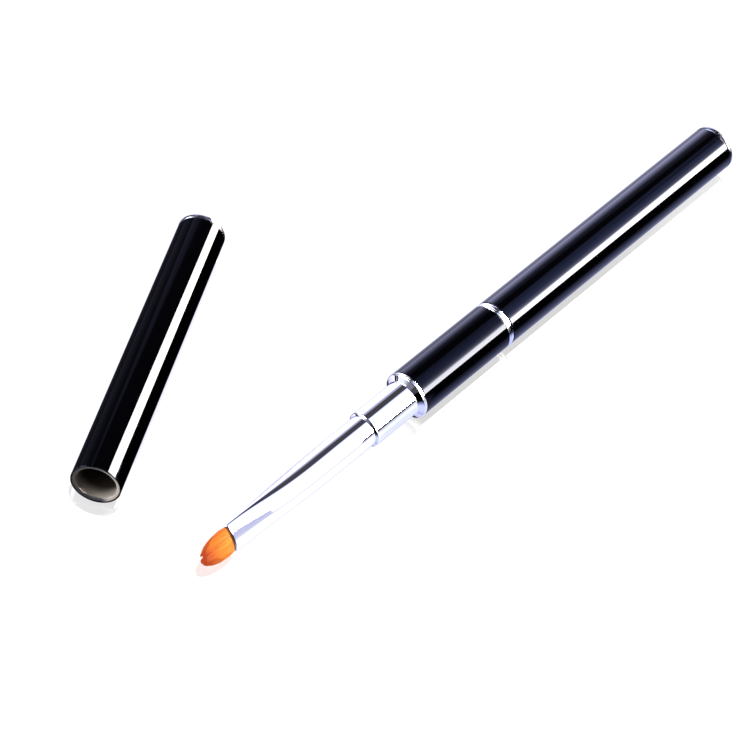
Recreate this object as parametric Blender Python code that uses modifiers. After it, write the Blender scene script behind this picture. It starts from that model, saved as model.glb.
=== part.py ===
"""Two-ended nail brush with push-on caps.

A short lacquered barrel carries a collar at each end.  The front collar holds a
ferrule that starts round and is pressed to a flat oval mouth round an oval
bristle tuft.  The rear collar holds a steel spatula.  A long cap with a chromed
end disc pushes on to each collar's spigot: the rear cap is on, and the front cap
is off and lies beside the brush.

Objects are in metres and +Z is up.  The origin is the centre of the flat face of
the rear cap's end disc, and the brush's axis is the X axis: bristles towards -X,
flat end face towards +X.  The pieces lie on the plane z = -BODY_R.

Each piece is built along its parent axis's local Z, which points outwards from
the barrel's end, or from a cap's mouth to its closed end.
"""
import math

import bmesh
import bpy
from mathutils import Matrix, Vector

MM = 0.001    # all lengths below are in millimetres

# ---- barrel and its core ----------------------------------------------------
BODY_R = 4.80            # outside radius of barrel, collar flanges and caps
BARREL_LEN = 23.50       # black part between the two collars
BARREL_WALL = 0.60
BARREL_EDGE = 0.15       # "edge" values are the size of a broken edge

CORE_CLEARANCE = 0.10    # between core and barrel
CORE_END_GAP = 0.30      # between core and each collar's stub
BOSS_CLEARANCE = 0.20    # between the core's end bosses and the collar bores
BOSS_LEN = 3.00
CORE_BORE_R = 1.20

# ---- collars, with heights from the barrel's end ----------------------------
TRIM_T = 0.42            # thin bright washer between barrel and flange
TRIM_GAP = 0.04          # on each side of the washer
TRIM_BORE_CLEARANCE = 0.15
TRIM_EDGE = 0.10
FLANGE_END = 1.20        # outer face of a flange
FLANGE_OUTER_EDGE = 0.16
FLANGE_INNER_EDGE = 0.08
SPIGOT_R = 3.64          # bright spigot that a cap pushes on to
SPIGOT_END = 12.50       # outer face of a spigot
SPIGOT_EDGE = 0.28
STUB_R = 3.95            # part of a collar inside the barrel
STUB_LEN = 6.00
STUB_EDGE = 0.20
COLLAR_BORE_R = 3.30

# ---- ferrule and its filling, with heights from the barrel's front end ------
FERRULE_R = 3.15         # round part of the ferrule
FERRULE_WALL = 0.24
INSERT_DEPTH = 2.00      # how far ferrule and sleeve run back past the barrel's end
FERRULE_MOUTH = 47.40
FLATTEN_FROM = 20.00     # where the ferrule starts to be pressed flat
FLATTEN_STEPS = 12
MOUTH_HALF_W = 2.82      # half width of the oval mouth
MOUTH_HALF_T = 1.02      # half thickness of the oval mouth
FLAT_TILT = math.radians(24.9)   # oval's long axis, from vertical towards +Y

DOWEL_CLEARANCE = 0.10
DOWEL_EDGE = 0.30
DOWEL_INSET = 0.20       # from the ferrule's inner end to the dowel's
DOWEL_END = 19.00
FILL_INSET = FERRULE_WALL + 0.12   # ferrule's outside to the glue or bristles
PLUG_FROM, PLUG_TO = 19.40, 35.00
PLUG_STEPS = 6

# ---- bristle tuft -----------------------------------------------------------
ROOT_FROM = 35.40        # inner end of the bristles
ROOT_STEPS = 5
TUFT_LEN = 7.40          # nominal free length of the bristles
TUFT_STEPS = 14
TUFT_HALF_W = 2.80
TUFT_HALF_T = 0.98
TUFT_CUT = 0.995         # part of the free length at which the flat tip is cut
SWELL_PART = 0.18        # part of the free length over which the tuft fills out
WIDTH_TAPER_POWER = 2.8  # higher keeps the width for longer before the tip
THIN_PART = 0.78         # part of the thickness lost by the tip
THIN_POWER = 1.6         # higher keeps the thickness for longer
TIP_MIN_HALF_W = 0.30
TIP_MIN_HALF_T = 0.12

# ---- spatula, with heights from the barrel's rear end -----------------------
SLEEVE_END = 17.00
SLEEVE_R = 3.15
SLEEVE_BORE_R = 1.45
NECK_R = 1.20
BLADE_END = 54.00
BLADE_HALF_W = 2.55
BLADE_HALF_T = 0.32
BLADE_SEGMENTS = 28

# Sections of the blade: height, half width, half thickness.
BLADE_STATIONS = (
    (-1.5, NECK_R - 0.2, NECK_R - 0.2), (-1.3, NECK_R, NECK_R),
    (20.0, NECK_R, NECK_R), (23.0, 1.28, 1.02), (26.0, 1.55, 0.74),
    (29.0, 1.95, 0.52), (32.0, 2.30, 0.40), (36.0, BLADE_HALF_W, 0.34),
    (48.5, BLADE_HALF_W, BLADE_HALF_T), (50.8, 2.36, 0.29), (52.5, 1.86, 0.25),
    (53.5, 1.18, 0.20), (BLADE_END, 0.35, 0.14),
)

# ---- caps, with heights from the cap's mouth --------------------------------
CAP_LEN = 67.50          # black tube of a cap
CAP_WALL = 0.50
CAP_EDGE = 0.12
CAP_BORE_R = BODY_R - CAP_WALL
LINER_R = CAP_BORE_R - 0.05
LINER_BORE_R = SPIGOT_R + 0.20
LINER_FROM, LINER_TO = 0.02, 14.00
LINER_EDGE = 0.05
LINER_BORE_EDGE = 0.10
END_PLUG_R = CAP_BORE_R - 0.06
END_PLUG_LEN = 6.00
END_PLUG_BORE_R = 2.10
END_PLUG_EDGE = 0.20
DISC_T = 1.05            # chromed disc on a cap's closed end
DISC_GAP = 0.05          # between tube and disc
DISC_ROUNDING = 0.30     # radius of the outer rim
DISC_ROUNDING_STEPS = 3
DISC_INNER_EDGE = 0.08
DISC_STEM_R = 2.00
DISC_STEM_LEN = 4.00
SEAT_GAP = 0.15          # between a pushed-on cap's rim and its collar

# ---- layout -----------------------------------------------------------------
SEAT = FLANGE_END + SEAT_GAP            # a pushed-on cap's mouth, from the barrel's end
JOIN_X = -(SEAT + CAP_LEN + DISC_GAP + DISC_T)   # the barrel's rear end
TRAVEL = 56.00                          # handle's travel out of the rear cap
CAP_MOUTH_XY = (-77.86, 26.80)          # loose cap's mouth, from the barrel's rear end
CAP_YAW = math.radians(28.33)           # its mouth-to-closed-end direction, from +X

ROUND_SEGMENTS = 40
HIDDEN_SEGMENTS = 24
MERGE_DISTANCE = 0.00001                # metres
SHARP_ANGLE = math.radians(35.0)

# ---- finishes ---------------------------------------------------------------
BLACK = dict(color=(0.010, 0.010, 0.016), roughness=0.12, metallic=0.0)
CHROME = dict(color=(0.86, 0.87, 0.90), roughness=0.06, metallic=1.0)
STEEL = dict(color=(0.66, 0.67, 0.69), roughness=0.22, metallic=1.0)
LINER = dict(color=(0.62, 0.60, 0.54), roughness=0.45, metallic=0.0)
CORE = dict(color=(0.16, 0.16, 0.17), roughness=0.60, metallic=0.0)
DOWEL = dict(color=(0.70, 0.55, 0.36), roughness=0.70, metallic=0.0)
GLUE = dict(color=(0.55, 0.38, 0.14), roughness=0.35, metallic=0.0)
HAIR = dict(color=(0.92, 0.36, 0.12), roughness=0.55, metallic=0.0)


# ---- building tools ---------------------------------------------------------
def new_collection(name):
    collection = bpy.data.collections.new(name)
    bpy.context.scene.collection.children.link(collection)
    return collection


def material(name, color, roughness, metallic):
    mat = bpy.data.materials.new(name)
    mat.use_nodes = True
    shader = mat.node_tree.nodes["Principled BSDF"]
    shader.inputs["Base Color"].default_value = (*color, 1.0)
    shader.inputs["Roughness"].default_value = roughness
    shader.inputs["Metallic"].default_value = metallic
    mat.diffuse_color = (*color, 1.0)
    return mat


def frame_at(name, location, pitch=0.0, yaw=0.0, parent=None):
    """An empty that carries pieces: pitch turns it about Y, then yaw about Z."""
    empty = bpy.data.objects.new(name, None)
    empty.empty_display_size = 5 * MM
    empty.location = [value * MM for value in location]
    empty.rotation_euler = (0.0, pitch, yaw)
    empty.parent = parent
    guides.objects.link(empty)
    return empty


def add_piece(name, mesh, parent, finish, z=0.0):
    """One piece: its own object, material and place along its axis."""
    mesh.materials.append(material(name + "_finish", **finish))
    obj = bpy.data.objects.new(name, mesh)
    obj.parent = parent
    obj.location = (0.0, 0.0, z * MM)
    parts.objects.link(obj)
    return obj


def turned(name, profile, parent, finish, segments=ROUND_SEGMENTS, z=0.0, ring=True):
    """Turn a profile of (radius, height) points round local Z.

    The points run down the outer side, top to bottom; a ring's profile goes on
    up its bore and closes, a solid's profile starts and ends on the axis.
    """
    mesh = bpy.data.meshes.new(name)
    verts = [(radius * MM, 0.0, height * MM) for radius, height in profile]
    edges = [(i, i + 1) for i in range(len(verts) - 1)]
    if ring:
        edges.append((len(verts) - 1, 0))
    mesh.from_pydata(verts, edges, [])
    screw = add_piece(name, mesh, parent, finish, z).modifiers.new("turn", "SCREW")
    screw.axis = "Z"
    screw.angle = 2.0 * math.pi
    screw.steps = segments
    screw.render_steps = segments
    screw.use_merge_vertices = True
    screw.merge_threshold = MERGE_DISTANCE
    screw.use_smooth_shade = True


def tube_profile(outer, inner, low, high, edge, bore_edge=0.0):
    """A tube's wall with broken outer edges, as a closed profile."""
    points = [(outer - edge, high), (outer, high - edge),
              (outer, low + edge), (outer - edge, low)]
    if bore_edge > 0.0:
        points += [(inner + bore_edge, low), (inner, low + bore_edge),
                   (inner, high - bore_edge), (inner + bore_edge, high)]
    else:
        points += [(inner, low), (inner, high)]
    return points


def oval_ring(half_w, half_t, z, tilt, segments):
    """Points of an oval across local Z, its long axis turned by tilt from local X."""
    turn = Matrix.Rotation(tilt, 3, "Z")
    ring = []
    for i in range(segments):
        angle = 2.0 * math.pi * i / segments
        ring.append(turn @ Vector((half_w * math.cos(angle), half_t * math.sin(angle), z)) * MM)
    return ring


def add_rows(bm, rings):
    """Add rings of points and the faces between them."""
    rows = [[bm.verts.new(point) for point in ring] for ring in rings]
    for low, high in zip(rows, rows[1:]):
        bridge(bm, low, high)
    return rows


def bridge(bm, low, high):
    for i in range(len(low)):
        j = (i + 1) % len(low)
        bm.faces.new((low[i], low[j], high[j], high[i]))


def loft(name, rings, parent, finish, bore_rings=None):
    """Skin between unlike sections, capped flat, or open through a bore."""
    bm = bmesh.new()
    rows = add_rows(bm, rings)
    if bore_rings is None:
        bm.faces.new(list(reversed(rows[0])))
        bm.faces.new(rows[-1])
    else:
        bores = add_rows(bm, bore_rings)
        bridge(bm, bores[0], rows[0])
        bridge(bm, rows[-1], bores[-1])
    bmesh.ops.recalc_face_normals(bm, faces=bm.faces)
    mesh = bpy.data.meshes.new(name)
    bm.to_mesh(mesh)
    bm.free()
    mesh.shade_smooth()
    mesh.set_sharp_from_angle(angle=SHARP_ANGLE)
    add_piece(name, mesh, parent, finish)


def mix(start, end, part):
    return start + (end - start) * part


def spread(start, end, steps):
    """Evenly spaced values, both ends included."""
    return [mix(start, end, i / steps) for i in range(steps + 1)]


def smoothstep(part):
    part = min(1.0, max(0.0, part))
    return part * part * (3.0 - 2.0 * part)


# ---- handle -----------------------------------------------------------------
def barrel():
    turned("center_barrel",
           tube_profile(BODY_R, BODY_R - BARREL_WALL, 0.0, BARREL_LEN, BARREL_EDGE),
           front_end, BLACK, z=-BARREL_LEN)


def barrel_core():
    """Core between the stubs, with a boss reaching into each collar's bore."""
    core_r = BODY_R - BARREL_WALL - CORE_CLEARANCE
    boss_r = COLLAR_BORE_R - BOSS_CLEARANCE
    core_half = BARREL_LEN / 2.0 - STUB_LEN - CORE_END_GAP
    boss_half = core_half + BOSS_LEN
    turned("barrel_core",
           [(boss_r, boss_half), (boss_r, core_half), (core_r, core_half),
            (core_r, -core_half), (boss_r, -core_half), (boss_r, -boss_half),
            (CORE_BORE_R, -boss_half), (CORE_BORE_R, boss_half)],
           front_end, CORE, HIDDEN_SEGMENTS, z=-BARREL_LEN / 2.0)


def collar(side, parent):
    """Bright washer, then a flange with a spigot outside and a stub inside."""
    trim_end = TRIM_GAP + TRIM_T
    turned(side + "_trim_ring",
           tube_profile(BODY_R, STUB_R + TRIM_BORE_CLEARANCE, TRIM_GAP, trim_end, TRIM_EDGE),
           parent, CHROME)
    low = trim_end + TRIM_GAP
    turned(side + "_collar",
           [(SPIGOT_R - SPIGOT_EDGE, SPIGOT_END), (SPIGOT_R, SPIGOT_END - SPIGOT_EDGE),
            (SPIGOT_R, FLANGE_END), (BODY_R - FLANGE_OUTER_EDGE, FLANGE_END),
            (BODY_R, FLANGE_END - FLANGE_OUTER_EDGE),
            (BODY_R, low + FLANGE_INNER_EDGE), (BODY_R - FLANGE_INNER_EDGE, low),
            (STUB_R, low), (STUB_R, -STUB_LEN + STUB_EDGE), (STUB_R - STUB_EDGE, -STUB_LEN),
            (COLLAR_BORE_R, -STUB_LEN), (COLLAR_BORE_R, SPIGOT_END)],
           parent, CHROME)


# ---- brush ------------------------------------------------------------------
def ferrule_half_axes(z, inset):
    """Half width and half thickness of the ferrule's section, less an inset."""
    part = smoothstep((z - FLATTEN_FROM) / (FERRULE_MOUTH - FLATTEN_FROM))
    return (mix(FERRULE_R, MOUTH_HALF_W, part) - inset,
            mix(FERRULE_R, MOUTH_HALF_T, part) - inset)


def ferrule_rings(heights, inset, segments=ROUND_SEGMENTS):
    return [oval_ring(*ferrule_half_axes(z, inset), z, FLAT_TILT, segments)
            for z in heights]


def ferrule():
    """Round tube pressed to an oval mouth."""
    heights = [-INSERT_DEPTH] + spread(FLATTEN_FROM, FERRULE_MOUTH, FLATTEN_STEPS)
    loft("brush_ferrule", ferrule_rings(heights, 0.0), front_end, CHROME,
         bore_rings=ferrule_rings(heights, FERRULE_WALL))


def ferrule_dowel():
    dowel_r = FERRULE_R - FERRULE_WALL - DOWEL_CLEARANCE
    low = -INSERT_DEPTH + DOWEL_INSET
    turned("ferrule_dowel",
           [(0.0, DOWEL_END), (dowel_r - DOWEL_EDGE, DOWEL_END),
            (dowel_r, DOWEL_END - DOWEL_EDGE), (dowel_r, low + DOWEL_EDGE),
            (dowel_r - DOWEL_EDGE, low), (0.0, low)],
           front_end, DOWEL, HIDDEN_SEGMENTS, ring=False)


def glue_plug():
    heights = spread(PLUG_FROM, PLUG_TO, PLUG_STEPS)
    loft("glue_plug", ferrule_rings(heights, FILL_INSET, HIDDEN_SEGMENTS), front_end, GLUE)


def bristle_tuft():
    """The root follows the ferrule; the free end narrows to a small flat tip."""
    rings = ferrule_rings(spread(ROOT_FROM, FERRULE_MOUTH, ROOT_STEPS), FILL_INSET)
    root_w, root_t = ferrule_half_axes(FERRULE_MOUTH, FILL_INSET)
    for i in range(1, TUFT_STEPS + 1):
        # Even steps over the first half, then closer and closer to the tip.
        if i > TUFT_STEPS // 2:
            part = math.sin(math.pi / 2.0 * i / TUFT_STEPS)
        else:
            part = i / TUFT_STEPS * math.sin(math.pi / 4.0) * 2.0
        part = min(TUFT_CUT, part)
        swell = smoothstep(part / SWELL_PART)
        half_w = mix(root_w, TUFT_HALF_W, swell) * (1.0 - part ** WIDTH_TAPER_POWER) ** 0.5
        half_t = mix(root_t, TUFT_HALF_T, swell) * (1.0 - THIN_PART * part ** THIN_POWER)
        rings.append(oval_ring(max(half_w, TIP_MIN_HALF_W),
                               max(min(half_t, half_w), TIP_MIN_HALF_T),
                               FERRULE_MOUTH + TUFT_LEN * part, FLAT_TILT, ROUND_SEGMENTS))
    loft("bristle_tuft", rings, front_end, HAIR)


# ---- spatula ----------------------------------------------------------------
def spatula_sleeve():
    """Sleeve in the rear collar, its outer end nosed in two slopes."""
    turned("spatula_sleeve",
           [(SLEEVE_R - 0.9, SLEEVE_END), (SLEEVE_R - 0.25, SLEEVE_END - 0.45),
            (SLEEVE_R, SLEEVE_END - 1.3), (SLEEVE_R, -INSERT_DEPTH),
            (SLEEVE_BORE_R, -INSERT_DEPTH), (SLEEVE_BORE_R, SLEEVE_END)],
           rear_end, CHROME)


def spatula_blade():
    """Round neck that goes over to a flat upright blade."""
    rings = [oval_ring(half_w, half_t, z, 0.0, BLADE_SEGMENTS)
             for z, half_w, half_t in BLADE_STATIONS]
    loft("spatula_blade", rings, rear_end, STEEL)


# ---- caps -------------------------------------------------------------------
def cap_end_disc(side, parent, z):
    """Disc with a rounded outer rim and a stem into the end plug."""
    face = CAP_LEN + DISC_GAP
    top = face + DISC_T
    rim = []
    for angle in spread(0.0, math.pi / 2.0, DISC_ROUNDING_STEPS):
        rim.append((BODY_R - DISC_ROUNDING + DISC_ROUNDING * math.sin(angle),
                    top - DISC_ROUNDING + DISC_ROUNDING * math.cos(angle)))
    turned(side + "_cap_end_disc",
           [(0.0, top), *rim,
            (BODY_R, face + DISC_INNER_EDGE), (BODY_R - DISC_INNER_EDGE, face),
            (DISC_STEM_R, face), (DISC_STEM_R, face - DISC_STEM_LEN),
            (0.0, face - DISC_STEM_LEN)],
           parent, CHROME, z=z, ring=False)


def cap(side, parent, z):
    """A push-on cap: tube, liner, end plug and chromed end disc."""
    turned(side + "_cap_tube",
           tube_profile(BODY_R, CAP_BORE_R, 0.0, CAP_LEN, CAP_EDGE),
           parent, BLACK, z=z)
    turned(side + "_cap_liner",
           tube_profile(LINER_R, LINER_BORE_R, LINER_FROM, LINER_TO,
                        LINER_EDGE, LINER_BORE_EDGE),
           parent, LINER, z=z)
    turned(side + "_cap_end_plug",
           tube_profile(END_PLUG_R, END_PLUG_BORE_R, CAP_LEN - END_PLUG_LEN, CAP_LEN,
                        END_PLUG_EDGE),
           parent, CORE, HIDDEN_SEGMENTS, z=z)
    cap_end_disc(side, parent, z)


def loose_cap_axis():
    """The loose cap's axis, on a parent at the pole of its swing.

    A swing about this upright pole takes the cap from where it lies to a place
    in line with the brush, its mouth one travel ahead of its seat.
    """
    mouth = Vector((JOIN_X + CAP_MOUTH_XY[0], CAP_MOUTH_XY[1]))
    ready = Vector((JOIN_X - (BARREL_LEN + SEAT + TRAVEL), 0.0))
    swing = math.pi - CAP_YAW
    chord = ready - mouth
    across = Vector((-chord.y, chord.x))
    pole = (mouth + ready) / 2.0 + across / (2.0 * math.tan(swing / 2.0))
    swing_axis = frame_at("front_cap_swing_axis", (*pole, 0.0))
    return frame_at("front_cap_axis", (*(mouth - pole), 0.0),
                    pitch=math.pi / 2, yaw=CAP_YAW, parent=swing_axis)


# ---- build ------------------------------------------------------------------
for old in list(bpy.data.objects):
    bpy.data.objects.remove(old, do_unlink=True)

parts = new_collection("nail_brush")
guides = new_collection("nail_brush_guides")

rear_axis = frame_at("rear_cap_axis", (JOIN_X, 0.0, 0.0), pitch=math.pi / 2)
handle_axis = frame_at("handle_slide_axis", (JOIN_X, 0.0, 0.0))
rear_end = frame_at("rear_end_axis", (0.0, 0.0, 0.0), pitch=math.pi / 2, parent=handle_axis)
front_end = frame_at("front_end_axis", (-BARREL_LEN, 0.0, 0.0), pitch=-math.pi / 2,
                     parent=handle_axis)
loose_axis = loose_cap_axis()

barrel()
barrel_core()
collar("front", front_end)
collar("rear", rear_end)
ferrule()
ferrule_dowel()
glue_plug()
bristle_tuft()
spatula_sleeve()
spatula_blade()
cap("rear", rear_axis, SEAT)
cap("front", loose_axis, 0.0)
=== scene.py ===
"""Looks for a two-ended nail brush with a loose cap.

The handle lies along X: bristles at the -X (front) end, a spatula inside the rear cap at the
+X end.  The front cap lies beside it on a pale floor.  Sizes are in millimetres unless they
are multiplied by MM; shaders, floor and camera work in metres.
"""
import math

import bmesh
import bpy
import numpy as np
from mathutils import Matrix, Vector


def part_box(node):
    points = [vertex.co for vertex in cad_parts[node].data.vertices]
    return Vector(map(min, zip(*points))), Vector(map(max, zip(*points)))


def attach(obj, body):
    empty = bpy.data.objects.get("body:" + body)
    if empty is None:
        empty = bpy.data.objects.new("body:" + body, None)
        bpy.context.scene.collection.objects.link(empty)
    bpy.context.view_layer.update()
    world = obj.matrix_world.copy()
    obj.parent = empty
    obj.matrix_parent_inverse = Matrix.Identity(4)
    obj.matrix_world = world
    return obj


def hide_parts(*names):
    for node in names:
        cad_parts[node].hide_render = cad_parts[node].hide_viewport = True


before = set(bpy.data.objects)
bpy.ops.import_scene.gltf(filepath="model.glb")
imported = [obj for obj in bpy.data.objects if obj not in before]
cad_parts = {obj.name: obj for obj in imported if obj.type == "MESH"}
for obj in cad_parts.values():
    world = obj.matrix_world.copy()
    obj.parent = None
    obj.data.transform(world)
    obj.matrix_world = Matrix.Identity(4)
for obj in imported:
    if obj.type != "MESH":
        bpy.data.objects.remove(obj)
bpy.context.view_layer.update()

MM = 0.001
DEGREES = 57.29578                      # in one radian

# ------------------------------------------------------------- key sizes, mm
BODY_R = 4.80
BARREL_LEN, BARREL_WALL = 23.50, 0.60
TRIM_T, TRIM_GAP = 0.42, 0.04
FLANGE_END = 1.20
SPIGOT_R, SPIGOT_END = 3.64, 12.50
STUB_R, STUB_LEN = 3.95, 6.00
COLLAR_BORE_R, COLLAR_LIP = 3.30, 0.13
FERRULE_R, FERRULE_WALL, FERRULE_IN = 3.15, 0.24, 2.00
FERRULE_MOUTH, FLATTEN_FROM = 47.40, 20.00
MOUTH_HALF_W, MOUTH_HALF_T = 2.82, 1.02
FLAT_TILT = math.radians(24.9)
TUFT_LEN, TUFT_HALF_W, TUFT_HALF_T = 7.40, 2.80, 0.98
SLEEVE_END, SLEEVE_R, SLEEVE_BORE_R = 17.00, 3.15, 1.45
CAP_LEN, CAP_WALL = 67.50, 0.50
REAR_LIP_R, FRONT_LIP_R = 4.20, 4.53    # bore at each cap's mouth
LINER_R, LINER_BORE_R, LINER_LEN = 4.25, 3.84, 14.00
DISC_T, DISC_GAP = 1.05, 0.05
DISC_STEM_R, DISC_STEM_LEN = 2.00, 4.00
SEAT_GAP = 0.15

TURNED_SEGMENTS = 192
RUN_PITCH = 4.0                         # longest step along a straight profile run
FERRULE_SEGMENTS = 176
BLADE_SEGMENTS = 72

# ---------------------------------------------------------- camera and floor, m
EYE = Vector((-359.92, -231.44, 367.3)) * MM
AIM = Vector((-90.38, 11.05, -4.8)) * MM
LENS = 132.1584                         # mm, on a 36 mm sensor
FLOOR_DROP = 0.0010                     # floor below the lowest line of the tubes
FLOOR_Z = -BODY_R * MM - FLOOR_DROP

# Places: local Z runs outward along each piece's axis.
TUFT_TIP_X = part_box("bristle_tuft")[0].x
barrel_low, barrel_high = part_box("center_barrel")
FRONT_END = Matrix.Translation((barrel_low.x, 0, 0)) @ Matrix.Rotation(-math.pi / 2, 4, "Y")
REAR_END = Matrix.Translation((barrel_high.x, 0, 0)) @ Matrix.Rotation(math.pi / 2, 4, "Y")
REAR_CAP = REAR_END @ Matrix.Translation((0, 0, (FLANGE_END + SEAT_GAP) * MM))


def loose_cap_axis():
    """Mouth centre of the loose cap and the flat unit vector to its closed end."""
    points = np.array([v.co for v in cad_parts["front_cap_tube"].data.vertices])
    centre = (points.min(0) + points.max(0)) / 2.0
    flat = points[:, :2] - centre[:2]
    _, vectors = np.linalg.eigh(flat.T @ flat)
    along = vectors[:, 1] * (1.0 if vectors[0, 1] > 0 else -1.0)
    reach = float((flat @ along).max())
    return Vector((centre[0] - along[0] * reach, centre[1] - along[1] * reach, 0.0)), along


MOUTH, CAP_ALONG = loose_cap_axis()
LOOSE_CAP = (Matrix.Translation(MOUTH)
             @ Matrix.Rotation(math.atan2(CAP_ALONG[1], CAP_ALONG[0]), 4, "Z")
             @ Matrix.Rotation(math.pi / 2, 4, "Y"))


# ---------------------------------------------------------------- mesh tools
def smoothstep(t):
    t = min(1.0, max(0.0, t))
    return t * t * (3.0 - 2.0 * t)


def fillet(corners, closed, steps):
    """Round the corners (radius, height, rounding); returns (radius, height) points."""
    def share(neighbour):
        """Part of a run this corner may use: more beside a nearly sharp neighbour."""
        return 0.49 if neighbour[2] > 0.06 else 0.88

    points = []
    count = len(corners)
    for i, (radius, height, rounding) in enumerate(corners):
        if rounding <= 0.0 or (not closed and i in (0, count - 1)):
            points.append((radius, height))
            continue
        corner = Vector((radius, height))
        before, after = corners[i - 1], corners[(i + 1) % count]
        back = Vector(before[:2]) - corner
        ahead = Vector(after[:2]) - corner
        back_run, ahead_run = back.length, ahead.length
        back.normalize()
        ahead.normalize()
        half = back.angle(ahead) / 2.0
        cut = min(rounding / math.tan(half), back_run * share(before), ahead_run * share(after))
        rounding = cut * math.tan(half)
        middle = corner + (back + ahead).normalized() * (rounding / math.sin(half))
        start, end = corner + back * cut - middle, corner + ahead * cut - middle
        turn = math.atan2(start.x * end.y - start.y * end.x, start.dot(end))
        for k in range(steps + 1):
            angle = turn * k / steps
            cos, sin = math.cos(angle), math.sin(angle)
            points.append((middle.x + start.x * cos - start.y * sin,
                           middle.y + start.x * sin + start.y * cos))
    return points


def support(points, closed, edge):
    """Extra points near the ends of straight runs, so that shading stays flat."""
    result = []
    count = len(points)
    for i in range(count if closed else count - 1):
        start, end = Vector(points[i]), Vector(points[(i + 1) % count])
        result.append(tuple(start))
        run = (end - start).length
        if run > 4.0 * edge:
            inner = run - 2.0 * edge
            parts = math.ceil(inner / RUN_PITCH)
            stops = [edge + inner * k / parts for k in range(parts)] + [run - edge]
            result += [tuple(start + (end - start) * (stop / run)) for stop in stops]
    if not closed:
        result.append(tuple(points[-1]))
    return result


def skin(bm, rows, loop=False, caps=False):
    """Join rings of vertices with quads, or triangles where a ring is a single point."""
    count = len(rows[0])
    for low, high in list(zip(rows, rows[1:])) + ([(rows[-1], rows[0])] if loop else []):
        for k in range(count):
            m = (k + 1) % count
            bm.faces.new(list(dict.fromkeys((low[k], low[m], high[m], high[k]))))
    if caps:
        bm.faces.new(list(reversed(rows[0])))
        bm.faces.new(rows[-1])


def add_piece(name, mesh, place, finish, slot, body, node):
    """Put a finished mesh in the scene in place of one CAD node."""
    mesh.shade_smooth()
    mesh.materials.append(finish)
    obj = bpy.data.objects.new(name, mesh)
    obj.matrix_world = place
    bpy.context.scene.collection.objects.link(obj)
    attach(obj, body)
    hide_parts(node)


def to_mesh(name, bm):
    mesh = bpy.data.meshes.new(name)
    bm.to_mesh(mesh)
    bm.free()
    return mesh


def add_bmesh(name, bm, *details):
    bmesh.ops.recalc_face_normals(bm, faces=bm.faces)
    add_piece(name, to_mesh(name, bm), *details)


def turned(name, corners, place, finish, slot, body, node, closed=True, edge=0.05, steps=7):
    """A turned piece: rounded profile spun about local Z."""
    bm = bmesh.new()
    rows = []
    for radius, height in support(fillet(corners, closed, steps), closed, edge):
        if radius < 1e-6:
            rows.append([bm.verts.new((0, 0, height * MM))] * TURNED_SEGMENTS)
            continue
        angles = [2 * math.pi * k / TURNED_SEGMENTS for k in range(TURNED_SEGMENTS)]
        rows.append([bm.verts.new((radius * MM * math.cos(angle),
                                   radius * MM * math.sin(angle),
                                   height * MM)) for angle in angles])
    skin(bm, rows, loop=closed)
    add_bmesh(name, bm, place, finish, slot, body, node)


def tilted(x, y, z, tilt):
    """A point in metres, turned about local Z."""
    cos, sin = math.cos(tilt), math.sin(tilt)
    return MM * (x * cos - y * sin), MM * (x * sin + y * cos), z * MM


def oval(half_w, half_t, height, tilt, segments, power=1.0):
    """Points of an oval across local Z; a lower power makes it boxier."""
    points = []
    for k in range(segments):
        angle = 2 * math.pi * k / segments
        sin = math.sin(angle)
        y = half_t * math.copysign(abs(sin) ** power, sin)
        points.append(tilted(half_w * math.cos(angle), y, height, tilt))
    return points


# --------------------------------------------------------------- shader tools
class Signal:
    """A node output; arithmetic and the methods below each add nodes fed by it."""

    def __init__(self, graph, socket):
        self.graph = graph
        self.socket = socket

    def __add__(self, other):
        return self.graph.math("ADD", self, other)

    def __radd__(self, other):
        return self.graph.math("ADD", other, self)

    def __sub__(self, other):
        return self.graph.math("SUBTRACT", self, other)

    def __rsub__(self, other):
        return self.graph.math("SUBTRACT", other, self)

    def __mul__(self, other):
        return self.graph.math("MULTIPLY", self, other)

    def __truediv__(self, other):
        return self.graph.math("DIVIDE", self, other)

    def __abs__(self):
        return self.graph.math("ABSOLUTE", self)

    def max(self, other):
        return self.graph.math("MAXIMUM", self, other)

    def linear(self, over, to=(0.0, 1.0), kind="LINEAR"):
        """Clamped ramp through the input range `over`, giving the range `to`."""
        return self.graph.signal(
            "ShaderNodeMapRange",
            {"Value": self, "From Min": over[0], "From Max": over[1],
             "To Min": to[0], "To Max": to[1]},
            output="Result", interpolation_type=kind)

    def smooth(self, over, to=(0.0, 1.0)):
        """Smooth ramp; numbers in `over` may fall as well as rise."""
        if not isinstance(over[0], Signal) and over[0] > over[1]:
            over, to = over[::-1], to[::-1]
        return self.linear(over, to, "SMOOTHSTEP")

    def mix(self, first, second):
        """Colour blend: `first` where this signal is 0, `second` where it is 1."""
        return self.graph.signal("ShaderNodeMix", {"Factor": self, 6: first, 7: second},
                                 output=2, data_type="RGBA")

    def mapped(self, **change):
        return self.graph.signal("ShaderNodeMapping", {"Vector": self, **change})

    def noise(self, scale, detail):
        return self.graph.signal(
            "ShaderNodeTexNoise",
            {"Vector": self, "Scale": scale, "Detail": detail, "Roughness": 0.55},
            output="Fac")

    def bump(self, distance, strength, normal=None):
        inputs = {"Height": self, "Distance": distance, "Strength": strength}
        if normal is not None:
            inputs["Normal"] = normal
        return self.graph.signal("ShaderNodeBump", inputs, output="Normal")

    def xyz(self):
        node = self.graph.add("ShaderNodeSeparateXYZ", {0: self})
        return [Signal(self.graph, socket) for socket in node.outputs]


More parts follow.
